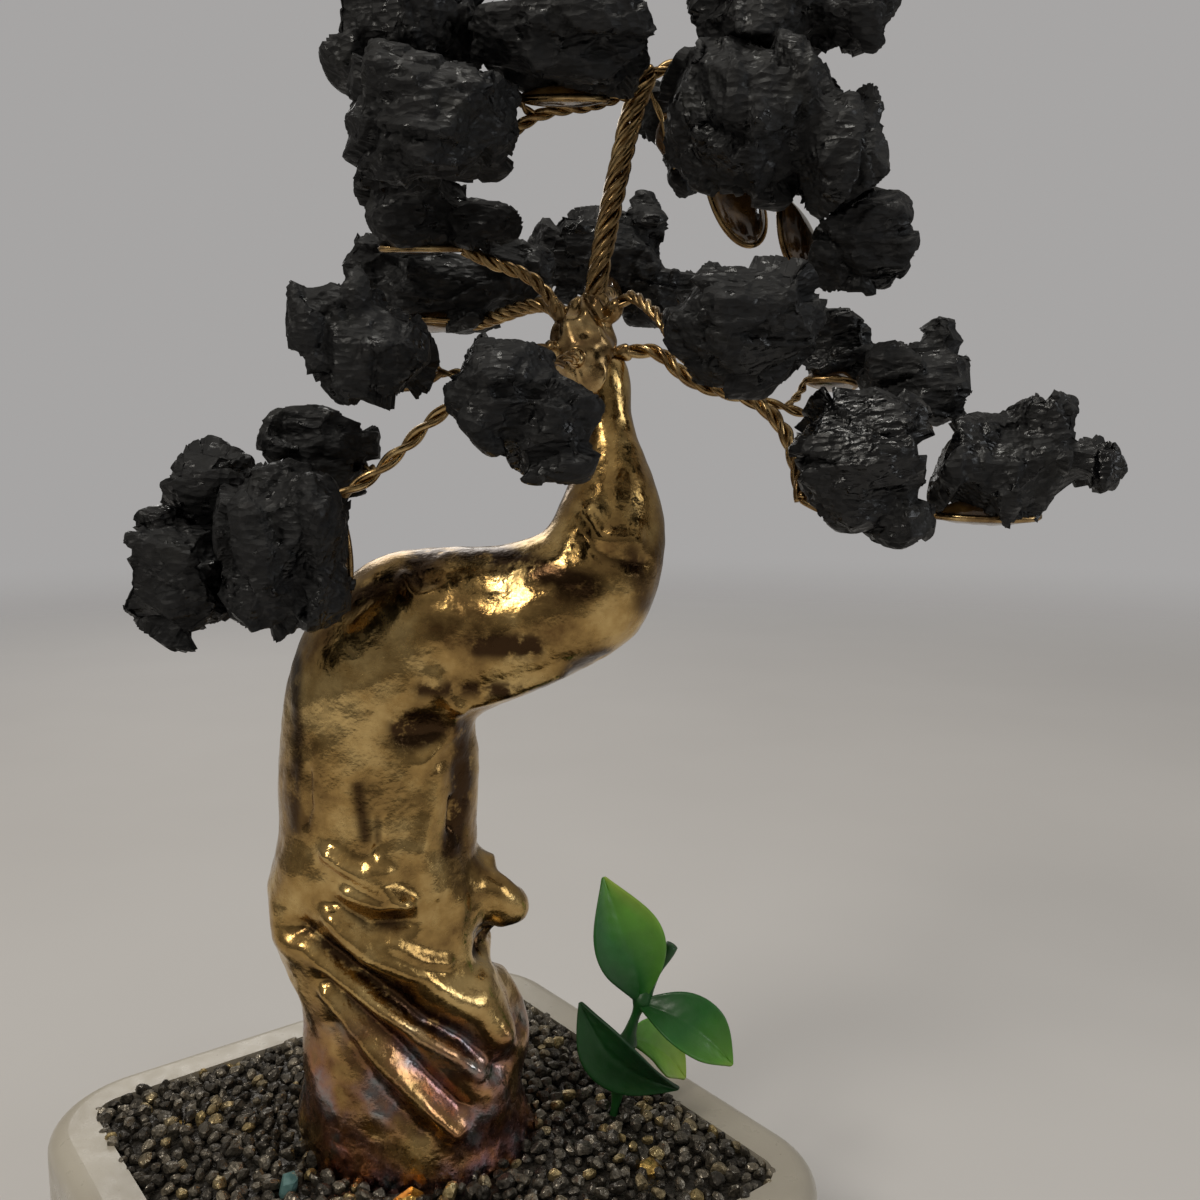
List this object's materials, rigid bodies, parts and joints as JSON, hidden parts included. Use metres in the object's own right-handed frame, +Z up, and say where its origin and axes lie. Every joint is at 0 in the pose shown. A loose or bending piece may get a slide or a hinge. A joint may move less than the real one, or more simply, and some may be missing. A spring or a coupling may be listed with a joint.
{
  "type": "gem tree ornament",
  "caption": "Table-top gem tree: a bent gold trunk in a gravel-filled dish, whose soft wire branches carry rough black stones",
  "frame": {"origin": "Centre of the dish's underside, where the piece stands", "axes": "+Z up; the tree's front faces -Y and its long branch reaches towards +X; the dish is turned 38 degrees about Z"},
  "size_m": [0.1748, 0.1362, 0.2203],
  "materials": {
    "dish_stoneware": "satin",
    "plaster": "matte",
    "pyrite": "satin",
    "nugget_gold": "gloss",
    "turquoise": "satin",
    "trunk_gold": "gloss",
    "wire_gold": "satin",
    "leaf_plastic": "satin",
    "black_stone": "satin",
    "amber_resin": "gloss"
  },
  "bodies": {
    "tree": {"crown_knob": "wire_gold", "dish": "dish_stoneware", "gold_nuggets": "nugget_gold", "gravel_bed": "pyrite", "lower_leaf_pair": "leaf_plastic", "plaster_fill": "plaster", "sprig_stem": "leaf_plastic", "trunk": "trunk_gold", "trunk_wire_core": "wire_gold", "turquoise_chip": "turquoise", "upper_leaf_pair": "leaf_plastic"},
    "leader": {"resin_behind_leader": "amber_resin", "stone_behind_leader": "black_stone", "wire_leader": "wire_gold"},
    "top_left_branch": {"resin_top_left": "amber_resin", "resin_top_middle": "amber_resin", "stone_top_left_back": "black_stone", "stone_top_left_front": "black_stone", "stone_top_middle": "black_stone", "wire_top_left": "wire_gold"},
    "top_right_branch": {"resin_top_right_crest": "amber_resin", "resin_top_right_large": "amber_resin", "resin_top_right_low": "amber_resin", "stone_top_right_crest": "black_stone", "stone_top_right_large": "black_stone", "stone_top_right_low": "black_stone", "wire_top_right": "wire_gold"},
    "upper_left_branch": {"resin_upper_left": "amber_resin", "stone_upper_left": "black_stone", "wire_upper_left": "wire_gold"},
    "back_left_branch": {"resin_back_left": "amber_resin", "stone_back_left": "black_stone", "wire_back_left": "wire_gold"},
    "back_branch": {"resin_back": "amber_resin", "stone_back": "black_stone", "wire_back": "wire_gold"},
    "right_branch": {"resin_right": "amber_resin", "stone_right": "black_stone", "wire_right": "wire_gold"},
    "far_right_branch": {"resin_far_right_end": "amber_resin", "resin_far_right_high": "amber_resin", "resin_far_right_low": "amber_resin", "resin_right_rear": "amber_resin", "stone_far_right_end": "black_stone", "stone_far_right_high": "black_stone", "stone_far_right_low": "black_stone", "stone_right_rear": "black_stone", "wire_far_right": "wire_gold"},
    "front_left_branch": {"resin_left": "amber_resin", "resin_neck": "amber_resin", "stone_left": "black_stone", "stone_neck": "black_stone", "wire_front_left": "wire_gold"},
    "lower_left_branch": {"resin_lower_left_high": "amber_resin", "resin_lower_left_large": "amber_resin", "stone_lower_left_end": "black_stone", "stone_lower_left_high": "black_stone", "stone_lower_left_large": "black_stone", "stone_lower_left_outer": "black_stone", "wire_lower_left": "wire_gold"}
  },
  "joints": [
    {"name": "leader_bend", "type": "hinge", "parent": "tree", "child": "leader", "pos_m": [0.0307, -0.0015, 0.1776], "axis": [0, 1, 0], "range_deg": [-2, 6]},
    {"name": "top_left_bend", "type": "hinge", "parent": "leader", "child": "top_left_branch", "pos_m": [0.034, -0.005, 0.2044], "axis": [0, 1, 0], "range_deg": [-4, 6]},
    {"name": "top_right_bend", "type": "hinge", "parent": "leader", "child": "top_right_branch", "pos_m": [0.0424, -0.0015, 0.2106], "axis": [0, 1, 0], "range_deg": [-6, 4]},
    {"name": "upper_left_bend", "type": "hinge", "parent": "tree", "child": "upper_left_branch", "pos_m": [0.0229, -0.002, 0.1764], "axis": [0, 1, 0], "range_deg": [-5, 5]},
    {"name": "back_left_bend", "type": "hinge", "parent": "tree", "child": "back_left_branch", "pos_m": [0.024, 0.0046, 0.1748], "axis": [0, 1, 0], "range_deg": [-5, 5]},
    {"name": "back_bend", "type": "hinge", "parent": "tree", "child": "back_branch", "pos_m": [0.031, 0.0062, 0.1754], "axis": [1, 0, 0], "range_deg": [-5, 6]},
    {"name": "right_bend", "type": "hinge", "parent": "tree", "child": "right_branch", "pos_m": [0.0352, -0.0064, 0.1752], "axis": [0, 1, 0], "range_deg": [-5, 5]},
    {"name": "far_right_bend", "type": "hinge", "parent": "tree", "child": "far_right_branch", "pos_m": [0.0374, -0.0004, 0.1674], "axis": [0, 1, 0], "range_deg": [-5, 6]},
    {"name": "front_left_bend", "type": "hinge", "parent": "tree", "child": "front_left_branch", "pos_m": [0.027, -0.01, 0.1656], "axis": [0, 1, 0], "range_deg": [-5, 5]},
    {"name": "lower_left_bend", "type": "hinge", "parent": "tree", "child": "lower_left_branch", "pos_m": [0.022, -0.0064, 0.168], "axis": [0, 1, 0], "range_deg": [-1.5, 6]}
  ]
}
